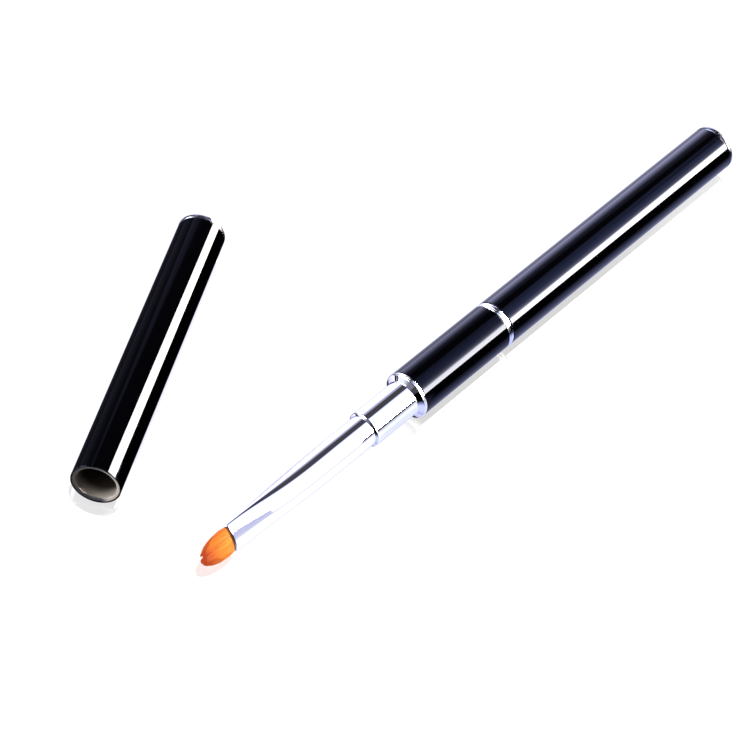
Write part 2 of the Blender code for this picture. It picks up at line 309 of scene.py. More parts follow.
class Graph:
    """Builds the node tree of a material or world (the owner)."""

    def __init__(self, owner, output_kind="ShaderNodeOutputMaterial"):
        owner.use_nodes = True
        self.owner = owner
        self.tree = owner.node_tree
        self.tree.nodes.clear()
        self.end = self.add(output_kind)

    def put(self, socket, value):
        """Link a signal to a socket, or set its value; colours gain an alpha of 1."""
        if isinstance(value, Signal):
            self.tree.links.new(value.socket, socket)
        elif isinstance(value, (tuple, Vector)):
            full = tuple(value)
            if len(socket.default_value) == 4 and len(full) == 3:
                full += (1.0,)
            socket.default_value = full
        else:
            socket.default_value = value

    def add(self, kind, inputs=None, **props):
        node = self.tree.nodes.new(kind)
        for key, value in props.items():
            setattr(node, key, value)
        for key, value in (inputs or {}).items():
            self.put(node.inputs[key], value)
        return node

    def signal(self, kind, inputs=None, output=0, **props):
        return Signal(self, self.add(kind, inputs, **props).outputs[output])

    def outputs(self, kind):
        """All outputs of a new node, by name."""
        return {socket.name: Signal(self, socket) for socket in self.add(kind).outputs}

    def math(self, operation, first, second=0.0):
        return self.signal("ShaderNodeMath", {0: first, 1: second, 2: 0.0},
                           operation=operation)

    def vector(self, operation, first, second=None, scale=None):
        inputs = {0: first}
        if second is not None:
            inputs[1] = second
        if scale is not None:
            inputs["Scale"] = scale
        output = "Value" if operation in ("DOT_PRODUCT", "LENGTH") else 0
        return self.signal("ShaderNodeVectorMath", inputs, output, operation=operation)

    def combine(self, x, y, z):
        return self.signal("ShaderNodeCombineXYZ", {0: x, 1: y, 2: z})

    def emission(self, colour, strength):
        return self.signal("ShaderNodeEmission", {"Color": colour, "Strength": strength})

    def mix_shader(self, amount, first, second):
        return self.signal("ShaderNodeMixShader", {0: amount, 1: first, 2: second})

    def finish(self, shader):
        self.put(self.end.inputs["Surface"], shader)

    def principled(self, **inputs):
        """Finish with a principled surface; returns the material."""
        named = {key.replace("_", " "): value for key, value in inputs.items()}
        self.finish(self.signal("ShaderNodeBsdfPrincipled", named))
        return self.owner


def new_material(name):
    graph = Graph(bpy.data.materials.new(name))
    return graph, graph.signal("ShaderNodeTexCoord", output="Object")


def axis_distance(x, y):
    return x.graph.math("SQRT", x * x + y * y)


# -------------------------------------------------------------------- finishes
def lacquer(name, seed, low, high, specular=0.158, gloss=0.035):
    """Deep gloss lacquer: faint orange peel, wipe marks, dust and rubbed ends.

    low and high are the tube's ends on local Z, in metres."""
    graph, coord = new_material(name)
    at = coord.mapped(Location=(seed, seed * 0.7, seed * 1.3))
    smear = at.mapped(Scale=(1.0, 1.0, 0.16)).noise(scale=420.0, detail=3.0)
    haze = at.noise(scale=90.0, detail=3.0)
    dust = at.noise(scale=5200.0, detail=1.0).smooth(over=(0.76, 0.80))
    z = coord.xyz()[2]
    ends = z.smooth(over=(low + 0.0003, low)).max(z.smooth(over=(high - 0.0003, high)))
    chips = ends * at.noise(scale=2600.0, detail=3.0).smooth(over=(0.50, 0.66))
    rough = gloss + (smear.smooth(over=(0.45, 0.85), to=(0.0, 0.020))
                     + haze.smooth(over=(0.45, 0.75), to=(0.0, 0.012)))
    rough += dust * 0.20 + chips * 0.06
    base = haze.mix((0.0003, 0.0003, 0.0006), (0.0008, 0.0008, 0.0014))
    base = dust.mix(base, (0.010, 0.010, 0.013))
    base = chips.mix(base, (0.014, 0.014, 0.018))
    peel = at.noise(scale=700.0, detail=2.0).bump(distance=0.0000045, strength=0.35)
    fine = at.mapped(Scale=(1.0, 1.0, 0.08)).noise(scale=5200.0, detail=2.0)
    return graph.principled(
        Base_Color=base, Roughness=rough, IOR=1.5, Specular_IOR_Level=specular,
        Specular_Tint=(0.55, 0.65, 1.0),
        Normal=fine.bump(distance=0.0000006, strength=0.5, normal=peel))


def chrome(name, seed, polish=0.024, tint=(0.93, 0.935, 0.955), cloudy=(0.87, 0.88, 0.915),
           rim=None):
    """Bright plated metal with faint lathe marks, fingerprints and hairlines.

    polish is the lowest roughness; rim is the colour of a disc's outer band, if any, a darker
    tint that is painted shade dimming the band's reflections."""
    graph, coord = new_material(name)
    at = coord.mapped(Location=(seed, seed * 1.7, 0.0))
    x, y, z = coord.xyz()
    # varies only along the axis and with radius
    marks = graph.combine(0.0, axis_distance(x, y), z).noise(scale=2600.0, detail=3.0)
    cloud = at.noise(scale=240.0, detail=3.0)
    hair = at.mapped(Scale=(1.0, 1.0, 0.05)).noise(scale=4200.0, detail=2.0)
    hair = hair.smooth(over=(0.66, 0.74))
    rough = polish + (cloud.smooth(over=(0.45, 0.75), to=(0.0, 0.020)) + hair * 0.030)
    rough += marks * 0.012
    colour = cloud.smooth(over=(0.35, 0.75)).mix(tint, cloudy)
    if rim is not None:
        x, y, z = coord.xyz()
        # painted shade: the outer band takes the darker rim colour, dimming its reflections
        band = axis_distance(x, y).smooth(over=(0.00400, 0.00412))
        colour = band.mix(colour, rim)
        rough += band * 0.16
    wave = at.mapped(Scale=(1.0, 1.0, 0.35)).noise(scale=330.0, detail=2.0)
    wave = wave.bump(distance=0.000003, strength=0.25)
    return graph.principled(
        Base_Color=colour, Metallic=1.0, Roughness=rough,
        Normal=marks.bump(distance=0.0000005, strength=0.5, normal=wave))


def brushed_steel(name):
    """Ground stainless blade: grain along the blade, a few cross scratches."""
    graph, coord = new_material(name)
    grain = coord.mapped(Scale=(1.0, 1.0, 0.018)).noise(scale=9000.0, detail=4.0)
    cross = coord.mapped(Scale=(0.06, 1.0, 1.0)).noise(scale=1500.0, detail=2.0)
    cross = cross.smooth(over=(0.68, 0.74))
    cloud = coord.noise(scale=180.0, detail=3.0)
    normal = grain.bump(distance=0.000004, strength=0.6)
    return graph.principled(
        Base_Color=grain.mix((0.60, 0.605, 0.62), (0.78, 0.785, 0.80)), Metallic=1.0,
        Roughness=0.15 + (grain * 0.10 + (cross * 0.10 + cloud * 0.05)),
        Normal=cross.bump(distance=0.000002, strength=0.5, normal=normal))


def liner_plastic(name):
    """Milky moulded liner: slight mottling and drag lines; painted shade deep in the bore and
    on a patch of the mouth face, and painted light on one side.
    """
    graph, coord = new_material(name)
    mottle = coord.noise(scale=500.0, detail=4.0)
    drag = coord.mapped(Scale=(1.0, 1.0, 0.03)).noise(scale=3600.0, detail=3.0)
    colour = mottle.mix((0.31, 0.275, 0.235), (0.43, 0.39, 0.345))
    lines = drag.smooth(over=(0.55, 0.70), to=(0.0, 0.35))
    colour = lines.mix(colour, (0.16, 0.14, 0.12))
    # painted shade: the colour darkens deep in the bore
    painted_bore_shade = coord.xyz()[2].smooth(over=(0.0003, 0.0033))
    colour = (painted_bore_shade * 0.97).mix(colour, (0.012, 0.008, 0.005))
    # painted light: brighter towards +X and -Y; and a dark patch of painted shade on the mouth
    # face
    x, y, z = coord.xyz()
    side = (x * 0.55 - y).smooth(over=(-0.0030, 0.0048), to=(0.22, 1.35))
    colour = graph.vector("SCALE", colour, scale=side)
    rim = z.smooth(over=(0.0005, 0.0003)) * x.smooth(over=(0.0, 0.0032))
    rim = rim * y.smooth(over=(-0.0024, -0.0006))
    colour = rim.mix(colour, (0.035, 0.035, 0.042))
    normal = drag.bump(distance=0.000010, strength=0.5)
    grain = coord.noise(scale=5000.0, detail=2.0)
    return graph.principled(
        Base_Color=colour, Roughness=0.30 + (mottle * 0.15 + drag * 0.12), IOR=1.49,
        Subsurface_Weight=0.15, Subsurface_Radius=(0.0008, 0.0007, 0.0006),
        Subsurface_Scale=1.0,
        Normal=grain.bump(distance=0.000003, strength=0.4, normal=normal))


def core_plastic(name):
    """Dark moulded plastic with a fine spark-eroded grain."""
    graph, coord = new_material(name)
    grain = coord.noise(scale=6500.0, detail=3.0)
    cloud = coord.noise(scale=300.0, detail=3.0)
    return graph.principled(
        Base_Color=cloud.mix((0.020, 0.020, 0.022), (0.045, 0.045, 0.048)),
        Roughness=0.45 + grain * 0.25,
        Normal=grain.bump(distance=0.000010, strength=0.6))


def dowel_wood(name):
    """Pale hardwood dowel: long grain, pores, growth bands."""
    graph, coord = new_material(name)
    x, y, z = coord.xyz()
    bands = graph.combine(x * 1.0, y * 0.25, z * 0.02).noise(scale=1300.0, detail=3.0)
    pores = coord.mapped(Scale=(1.0, 1.0, 0.03)).noise(scale=7000.0, detail=2.0)
    pores = pores.smooth(over=(0.58, 0.68))
    colour = bands.mix((0.50, 0.33, 0.18), (0.72, 0.54, 0.34))
    return graph.principled(
        Base_Color=(pores * 0.6).mix(colour, (0.26, 0.15, 0.07)),
        Roughness=0.55 + bands * 0.25,
        Normal=pores.bump(distance=-0.00002, strength=0.7))


def cured_glue(name):
    """Amber resin with small bubbles."""
    graph, coord = new_material(name)
    cloud = coord.noise(scale=700.0, detail=3.0)
    bubbles = graph.signal("ShaderNodeTexVoronoi", {"Vector": coord, "Scale": 2400.0},
                           output="Distance").smooth(over=(0.30, 0.18))
    return graph.principled(
        Base_Color=cloud.mix((0.42, 0.22, 0.05), (0.66, 0.42, 0.13)),
        Roughness=0.15 + bubbles * 0.3,
        Subsurface_Weight=0.3, Subsurface_Radius=(0.001, 0.0006, 0.0003),
        Subsurface_Scale=1.0, Normal=bubbles.bump(distance=-0.00003, strength=0.6))


def bristle_hair(name):
    """Synthetic hair: golden near the ferrule, redder at the tip, painted shade where it leaves
    the mouth; each strand its own shade, with fine banding along it."""
    graph, coord = new_material(name)
    strand = graph.signal("ShaderNodeNewGeometry", output="Random Per Island")
    x, y, z = coord.xyz()
    along = z.linear(over=(FERRULE_MOUTH * MM, (FERRULE_MOUTH + TUFT_LEN) * MM))
    across = x * math.cos(FLAT_TILT) + y * math.sin(FLAT_TILT)
    fine = coord.mapped(Scale=(1.0, 1.0, 0.05)).noise(scale=4200.0, detail=2.0)
    root = strand.mix((1.0, 0.25, 0.006), (1.0, 0.46, 0.025))
    tip = strand.mix((0.46, 0.035, 0.012), (0.88, 0.14, 0.020))
    colour = (along + (strand - 0.5) * 0.35).smooth(over=(0.30, 0.90)).mix(root, tip)
    side = abs(across).smooth(over=(0.0016, 0.0029))
    colour = (side * 0.45).mix(colour, (0.62, 0.085, 0.030))
    banding = fine.smooth(over=(0.50, 0.72), to=(0.0, 0.35))
    colour = banding.mix(colour, (0.36, 0.045, 0.012))
    dark_strands = strand.smooth(over=(0.80, 0.86), to=(0.0, 0.60))
    colour = dark_strands.mix(colour, (0.50, 0.060, 0.006))
    # painted shade: strands turn almost black where they leave the ferrule's mouth
    neck = along.smooth(over=(0.026, 0.010))
    colour = (neck * 0.90).mix(colour, (0.045, 0.006, 0.008))
    return graph.principled(
        Base_Color=colour, Roughness=0.30 + strand * 0.18, IOR=1.53,
        Specular_IOR_Level=0.22,
        Subsurface_Weight=0.08, Subsurface_Radius=(0.0004, 0.00015, 0.00008),
        Subsurface_Scale=1.0, Normal=fine.bump(distance=0.00001, strength=0.5))


DISC_CHROME = {"polish": 0.07, "tint": (0.66, 0.66, 0.73), "cloudy": (0.60, 0.60, 0.67)}
LACQUER_BARREL = lacquer("lacquer_barrel", seed=0.11, low=-BARREL_LEN * MM, high=0.0,
                         specular=0.102, gloss=0.05)
LACQUER_REAR = lacquer("lacquer_rear_cap", seed=0.37, low=0.0, high=CAP_LEN * MM)
LACQUER_FRONT = lacquer("lacquer_front_cap", seed=0.71, low=0.0, high=CAP_LEN * MM)
CHROME_COLLAR = chrome("chrome_collar", seed=0.13)
CHROME_TRIM = chrome("chrome_trim", seed=0.29)
CHROME_FERRULE = chrome("chrome_ferrule", seed=0.53)
# the disc rims get a darker colour as painted shade, the rear one darker still
CHROME_DISC = chrome("chrome_disc", seed=0.83, rim=(0.17, 0.17, 0.205), **DISC_CHROME)
CHROME_DISC_REAR = chrome("chrome_disc_rear", seed=0.41, rim=(0.075, 0.078, 0.11),
                          **DISC_CHROME)
CHROME_SLEEVE = chrome("chrome_sleeve", seed=0.97)
STEEL_BLADE = brushed_steel("steel_blade")
PLASTIC_LINER = liner_plastic("plastic_liner")
PLASTIC_CORE = core_plastic("plastic_core")
WOOD_DOWEL = dowel_wood("wood_dowel")
GLUE = cured_glue("glue")
HAIR = bristle_hair("bristle_hair")


# ---------------------------------------------------------------------- handle
# Turned profiles list corners as (radius, height along local Z, rounding), in mm.
def barrel():
    bore = BODY_R - BARREL_WALL
    turned("barrel_shell",
           [(BODY_R, 0.0, 0.15), (BODY_R, -BARREL_LEN, 0.15),
            (bore, -BARREL_LEN, 0.03), (bore, 0.0, 0.03)],
           FRONT_END, LACQUER_BARREL, "black_lacquer", "handle", "center_barrel")


def collar(side, place, flange):
    """Trim washer and collar; flange lists the corners of the flange's outward face."""
    washer_bore, washer_top = STUB_R + 0.15, TRIM_GAP + TRIM_T
    turned(side + "_trim_washer",
           [(BODY_R, washer_top, 0.13), (BODY_R, TRIM_GAP, 0.13),
            (washer_bore, TRIM_GAP, 0.03), (washer_bore, washer_top, 0.03)],
           place, CHROME_TRIM, "chrome", "handle", side + "_trim_ring", edge=0.02)
    low = TRIM_GAP * 2.0 + TRIM_T
    lip_r = COLLAR_BORE_R - COLLAR_LIP
    turned(side + "_collar_turned",
           [(SPIGOT_R, SPIGOT_END - 0.32, 0.34), *flange,
            (BODY_R, low, 0.05), (STUB_R, low, 0.05),
            (STUB_R, -STUB_LEN, 0.20), (COLLAR_BORE_R, -STUB_LEN, 0.05),
            (COLLAR_BORE_R, SPIGOT_END - 0.60, 0.05), (lip_r, SPIGOT_END - 0.45, 0.05),
            (lip_r, SPIGOT_END, 0.03)],
           place, CHROME_COLLAR, "chrome", "handle", side + "_collar", edge=0.04, steps=12)


def ferrule():
    """Round tube pressed to an oval mouth, with a softly rolled lip."""
    lip = 0.10
    straight = FERRULE_MOUTH - lip - FLATTEN_FROM
    heights = [-FERRULE_IN + 0.12 * k for k in range(2)] + [2.0 * k for k in range(10)]
    heights += [FLATTEN_FROM + straight * k / 72.0 for k in range(73)]
    bm = bmesh.new()

    def ring(shape_height, inset, height):
        t = smoothstep((shape_height - FLATTEN_FROM) / (FERRULE_MOUTH - FLATTEN_FROM))
        half_w = FERRULE_R + (MOUTH_HALF_W - FERRULE_R) * t - inset
        half_t = FERRULE_R + (MOUTH_HALF_T - FERRULE_R) * t ** 2.2 - inset
        points = oval(half_w, half_t, height, FLAT_TILT, FERRULE_SEGMENTS)
        return [bm.verts.new(point) for point in points]

    rows = [ring(height, 0.0, height) for height in heights]
    for k in range(9):
        angle = math.pi * k / 8.0
        rows.append(ring(FERRULE_MOUTH, FERRULE_WALL / 2.0 * (1.0 - math.cos(angle)),
                         FERRULE_MOUTH - lip + lip * math.sin(angle)))
    rows += [ring(height, FERRULE_WALL, height) for height in reversed(heights)]
    skin(bm, rows, loop=True)
    add_bmesh("ferrule_pressed", bm, FRONT_END, CHROME_FERRULE, "chrome", "handle",
              "brush_ferrule")


STRANDS, STRAND_SIDES, STRAND_RINGS = 1150, 6, 11
STRAND_ROOT = -2.2                      # start of the strands, from the ferrule's mouth
GOLDEN_ANGLE = 2.399963
CORE_RINGS, CORE_SIDES = 12, 24
CORE_REACH = 0.66                       # share of the tuft's length
ROOT_HALF_W = MOUTH_HALF_W - FERRULE_WALL - 0.10
ROOT_HALF_T = MOUTH_HALF_T - FERRULE_WALL - 0.09
MAIN_SPLIT = 0.62
# Partings: (place across the tuft in mm, push to each side in mm, start as share of length)
SPLITS = ((MAIN_SPLIT, 0.24, 0.66), (-0.85, 0.08, 0.70), (1.75, 0.07, 0.66), (-1.9, 0.06, 0.6))


def tuft_swell(share):
    """How far the tuft has spread from the mouth to its full width."""
    return smoothstep(share / 0.18)


def tuft_thinning(share):
    return 1.0 - 0.78 * share ** 1.6


def tube_faces(first, rings, sides):
    """Side quads and two end caps of a tube whose vertices start at `first`."""
    faces = []
    for k in range(rings - 1):
        row = first + k * sides
        for m in range(sides):
            n = (m + 1) % sides
            faces.append((row + m, row + n, row + sides + n, row + sides + m))
    faces.append(tuple(first + m for m in reversed(range(sides))))
    faces.append(tuple(first + (rings - 1) * sides + m for m in range(sides)))
    return faces


def strand_points(index, rng):
    """Vertices of one tapered strand on a sunflower pattern across the tuft."""
    spread = math.sqrt((index + 0.5) / STRANDS)
    angle = index * GOLDEN_ANGLE
    wide = spread * math.cos(angle) + rng.normal(0, 0.012)
    deep = spread * math.sin(angle) + rng.normal(0, 0.012)
    # length as a share of the tuft: domed, ragged, shorter beside the main parting
    reach = (max(0.02, 1.0 - min(0.985, wide * wide))) ** (1.0 / 2.8)
    reach *= (1.0 - 0.05 * deep * deep) * (1.0 - abs(rng.normal(0, 0.018)))
    reach *= 1.0 - 0.10 * math.exp(-((wide * TUFT_HALF_W - MAIN_SPLIT) / 0.16) ** 2)
    reach = min(0.985, max(0.10, reach))
    thick = 0.064 + 0.018 * rng.random()
    bend = rng.normal(0, 0.030, 2)
    points = []
    for k in range(STRAND_RINGS):
        part = k / (STRAND_RINGS - 1.0)
        z = STRAND_ROOT + (TUFT_LEN * reach - STRAND_ROOT) * part
        share = max(0.0, z / TUFT_LEN)
        swell = tuft_swell(share)
        across = (wide * (ROOT_HALF_W + (TUFT_HALF_W - 0.07 - ROOT_HALF_W) * swell)
                  * (1.0 - 0.05 * share ** 3))
        through = (deep * (ROOT_HALF_T + (TUFT_HALF_T - 0.07 - ROOT_HALF_T) * swell)
                   * tuft_thinning(share))
        for place, push, start in SPLITS:
            near = math.exp(-abs(across - place) / 0.30)
            opening = smoothstep((share - start) / 0.35)
            across += math.copysign(push, across - place) * near * opening
        across += bend[0] * share * share
        through += bend[1] * share * share * 0.6
        radius = thick * (1.0 - 0.72 * max(0.0, part - 0.45) / 0.55)
        if k == STRAND_RINGS - 1:
            radius *= 0.45
        for m in range(STRAND_SIDES):
            angle = 2 * math.pi * m / STRAND_SIDES
            points.append(tilted(across + radius * math.cos(angle),
                                 through + radius * math.sin(angle),
                                 FERRULE_MOUTH + z, FLAT_TILT))
    return points


def core_points():
    """Vertices of the packing core hidden among the strands."""
    points = []
    for k in range(CORE_RINGS):
        share = CORE_REACH * k / (CORE_RINGS - 1.0)
        swell = tuft_swell(share)
        half_w = ((ROOT_HALF_W + (TUFT_HALF_W - ROOT_HALF_W) * swell)
                  * (1.0 - share ** 2.8) ** 0.5 * 0.84)
        half_t = ((ROOT_HALF_T + (TUFT_HALF_T - ROOT_HALF_T) * swell)
                  * tuft_thinning(share) * 0.72)
        # only the first ring sits down inside the mouth
        height = FERRULE_MOUTH - 2.0 + (TUFT_LEN * share + (2.0 if k else 0.0))
        points += oval(half_w, half_t, height, FLAT_TILT, CORE_SIDES)
    return points


def bristles():
    rng = np.random.default_rng(11)
    verts, faces = [], []
    for i in range(STRANDS):
        faces += tube_faces(len(verts), STRAND_RINGS, STRAND_SIDES)
        verts += strand_points(i, rng)
    faces += tube_faces(len(verts), CORE_RINGS, CORE_SIDES)
    verts += core_points()
    mesh = bpy.data.meshes.new("bristle_strands")
    mesh.from_pydata(verts, [], faces)
    mesh.validate()
    add_piece("bristle_strands", mesh, FRONT_END, HAIR, "bristle", "handle", "bristle_tuft")


def spatula_sleeve():
    """Sleeve with a rounded nose."""
    turned("spatula_sleeve_turned",
           [(SLEEVE_R - 0.85, SLEEVE_END, 0.25), (SLEEVE_R, SLEEVE_END - 1.1, 0.9),
            (SLEEVE_R, -FERRULE_IN, 0.05), (SLEEVE_BORE_R, -FERRULE_IN, 0.05),
            (SLEEVE_BORE_R, SLEEVE_END, 0.12)],
           REAR_END, CHROME_SLEEVE, "chrome", "handle", "spatula_sleeve")


# Blade stations, mm: (height along local Z, half width, half thickness)
STATIONS = np.array([
    (-1.5, 1.0, 1.0), (-1.3, 1.2, 1.2), (6.0, 1.2, 1.2), (14.0, 1.2, 1.2), (20.0, 1.2, 1.2),
    (23.0, 1.28, 1.02), (26.0, 1.55, 0.74), (29.0, 1.95, 0.52), (32.0, 2.30, 0.40),
    (36.0, 2.54, 0.34), (42.0, 2.55, 0.33), (48.5, 2.54, 0.32), (50.8, 2.36, 0.29),
    (52.5, 1.86, 0.25), (53.5, 1.18, 0.20), (54.0, 0.35, 0.14)])
STATION_Z, STATION_SIZE = STATIONS[:, 0], STATIONS[:, 1:]
STATION_SLOPE = np.gradient(STATION_SIZE, STATION_Z, axis=0)


def blade_size(height):
    """Half width and thickness: a cubic through the stations, kept between neighbours."""
    i = int(np.clip(np.searchsorted(STATION_Z, height) - 1, 0, len(STATION_Z) - 2))
    gap = STATION_Z[i + 1] - STATION_Z[i]
    t = (height - STATION_Z[i]) / gap
    size = ((2 * t ** 3 - 3 * t * t + 1) * STATION_SIZE[i]
            + (t ** 3 - 2 * t * t + t) * gap * STATION_SLOPE[i]
            + (-2 * t ** 3 + 3 * t * t) * STATION_SIZE[i + 1]
            + (t ** 3 - t * t) * gap * STATION_SLOPE[i + 1])
    limit = STATION_SIZE[i:i + 2]
    return np.clip(size, limit.min(0), limit.max(0)).tolist()


def spatula_blade():
    """Blade drawn from a round neck to a flat, rounded tip."""
    heights = np.linspace(-1.5, 20.0, 24).tolist() + np.linspace(20.4, 48.0, 70).tolist()
    heights += [48.0 + 6.0 * math.sin(math.pi / 2 * k / 28.0) for k in range(1, 29)]
    bm = bmesh.new()
    rows = []
    for height in heights:
        half_w, half_t = blade_size(height)
        power = 1.0 - 0.35 * smoothstep((height - 22.0) / 12.0)
        points = oval(half_w, half_t, height, 0.0, BLADE_SEGMENTS, power)
        rows.append([bm.verts.new(point) for point in points])
    skin(bm, rows, caps=True)
    add_bmesh("spatula_blade_ground", bm, REAR_END, STEEL_BLADE, "steel", "handle",
              "spatula_blade")


# ------------------------------------------------------------------------ caps
def cap(side, place, paint, disc_metal, lip):
    """Cap shell, liner and end disc; lip is the radius of the mouth's bore."""
    body = side + "_cap"
    bore, liner_lip = BODY_R - CAP_WALL, lip - 0.03
    turned(body + "_shell",
           [(BODY_R, CAP_LEN, 0.13), (BODY_R, 0.0, 0.17), (lip, 0.0, 0.07), (lip, 0.60, 0.03),
            (bore, 0.60, 0.02), (bore, CAP_LEN, 0.03)],
           place, paint, "black_lacquer", body, body + "_tube")
    turned(body + "_liner_sleeve",
           [(LINER_R, LINER_LEN, 0.05), (LINER_R, 0.58, 0.03),
            (liner_lip, 0.58, 0.03), (liner_lip, 0.10, 0.05),
            (LINER_BORE_R, 0.16, min(0.34, (lip - LINER_BORE_R) * 0.5)),
            (LINER_BORE_R, LINER_LEN, 0.10)],
           place, PLASTIC_LINER, "liner_plastic", body, body + "_liner")
    face = CAP_LEN + DISC_GAP
    top = face + DISC_T
    stem_end = face - DISC_STEM_LEN
    turned(body + "_disc_turned",
           [(0.0, top, 0.0),
            # shallow ring groove
            (3.78, top, 0.02), (3.84, top - 0.05, 0.02),
            (3.96, top - 0.05, 0.02), (4.02, top, 0.02),
            (BODY_R, top, 0.40), (BODY_R, face, 0.34),
            (DISC_STEM_R, face, 0.05), (DISC_STEM_R, stem_end, 0.15), (0.0, stem_end, 0.0)],
           place, disc_metal, "chrome", body, body + "_end_disc", closed=False, edge=0.03)


barrel()
# the open front flange is dished towards the spigot; the rear one stays square
collar("front", FRONT_END,
       [(SPIGOT_R, FLANGE_END + 0.25, 0.26), (BODY_R, FLANGE_END - 0.50, 0.32)])
collar("rear", REAR_END, [(SPIGOT_R, FLANGE_END, 0.20), (BODY_R, FLANGE_END, 0.15)])
ferrule()
bristles()
spatula_sleeve()
spatula_blade()
cap("rear", REAR_CAP, LACQUER_REAR, CHROME_DISC_REAR, REAR_LIP_R)
cap("front", LOOSE_CAP, LACQUER_FRONT, CHROME_DISC, FRONT_LIP_R)

# CAD pieces that stay as they are and only take a finish
for node_name, finish in (("barrel_core", PLASTIC_CORE), ("ferrule_dowel", WOOD_DOWEL),
                          ("glue_plug", GLUE), ("rear_cap_end_plug", PLASTIC_CORE),
                          ("front_cap_end_plug", PLASTIC_CORE)):
    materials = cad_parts[node_name].data.materials
    materials.clear()
    materials.append(finish)


# ----------------------------------------------------------------------- floor
WHITE = (1.0, 1.0, 1.0)


def sheet(name, x_segments, y_segments, size, location):
    bm = bmesh.new()
    bmesh.ops.create_grid(bm, x_segments=x_segments, y_segments=y_segments, size=size)
    obj = bpy.data.objects.new(name, to_mesh(name, bm))
    obj.location = location
    return obj


def stage(obj):
    bpy.context.scene.collection.objects.link(obj)


def floor_in_metal(graph, geometry):
    """The floor's glow as polished pieces see it, by place and viewing direction."""
    view_x, view_y, view_z = geometry["Incoming"].xyz()
    x, y, _ = geometry["Position"].xyz()
    away_x, away_y = view_x * -1.0, view_y * -1.0
    azimuth = graph.math("ARCTAN2", away_y, away_x) * DEGREES
    # seen looking towards +Y
    far = away_y.smooth(over=(-0.05, 0.10))
    side = azimuth.smooth(over=(65.0, 59.5)).max(azimuth.smooth(over=(86.0, 100.0)))
    far_level = view_z.smooth(over=(0.10, 0.70), to=(1.4, 0.80)) * side.max(0.05)
    far_level *= azimuth.smooth(over=(22.0, 38.0)).max(y.smooth(over=(0.014, 0.008)))
    # seen looking towards -Y
    near_level = (view_z.smooth(over=(0.34, 0.66))
                  * view_z.smooth(over=(0.80, 0.95), to=(1.0, 0.70)))
    near_level *= y.smooth(over=(0.008, 0.002))
    # a lit wedge of floor, bounded by a slanting line
    card = (view_z.smooth(over=(0.17, 0.24), to=(0.80, 1.22))
            + view_z.smooth(over=(0.50, 0.60), to=(0.0, -0.20)))
    lane = x - y * -0.61
    card += (lane.smooth(over=(-0.104, -0.110))
             * view_z.smooth(over=(0.17, 0.24), to=(0.0, 0.30)))
    wedge = lane.smooth(over=(-0.096, -0.092), to=(1.0, 0.0))
    wedge *= y.smooth(over=(0.004, 0.0)) * azimuth.smooth(over=(-112.0, -96.0))
    near_level = near_level.max(wedge * (card * view_z.smooth(over=(0.03, 0.07))))
    level = far * far_level + (1.0 - far) * near_level
    shade = wedge.mix((0.70, 0.76, 1.35), (0.88, 0.91, 1.12))
    return graph.emission(far.mix(shade, (0.84, 0.84, 1.22)), level)


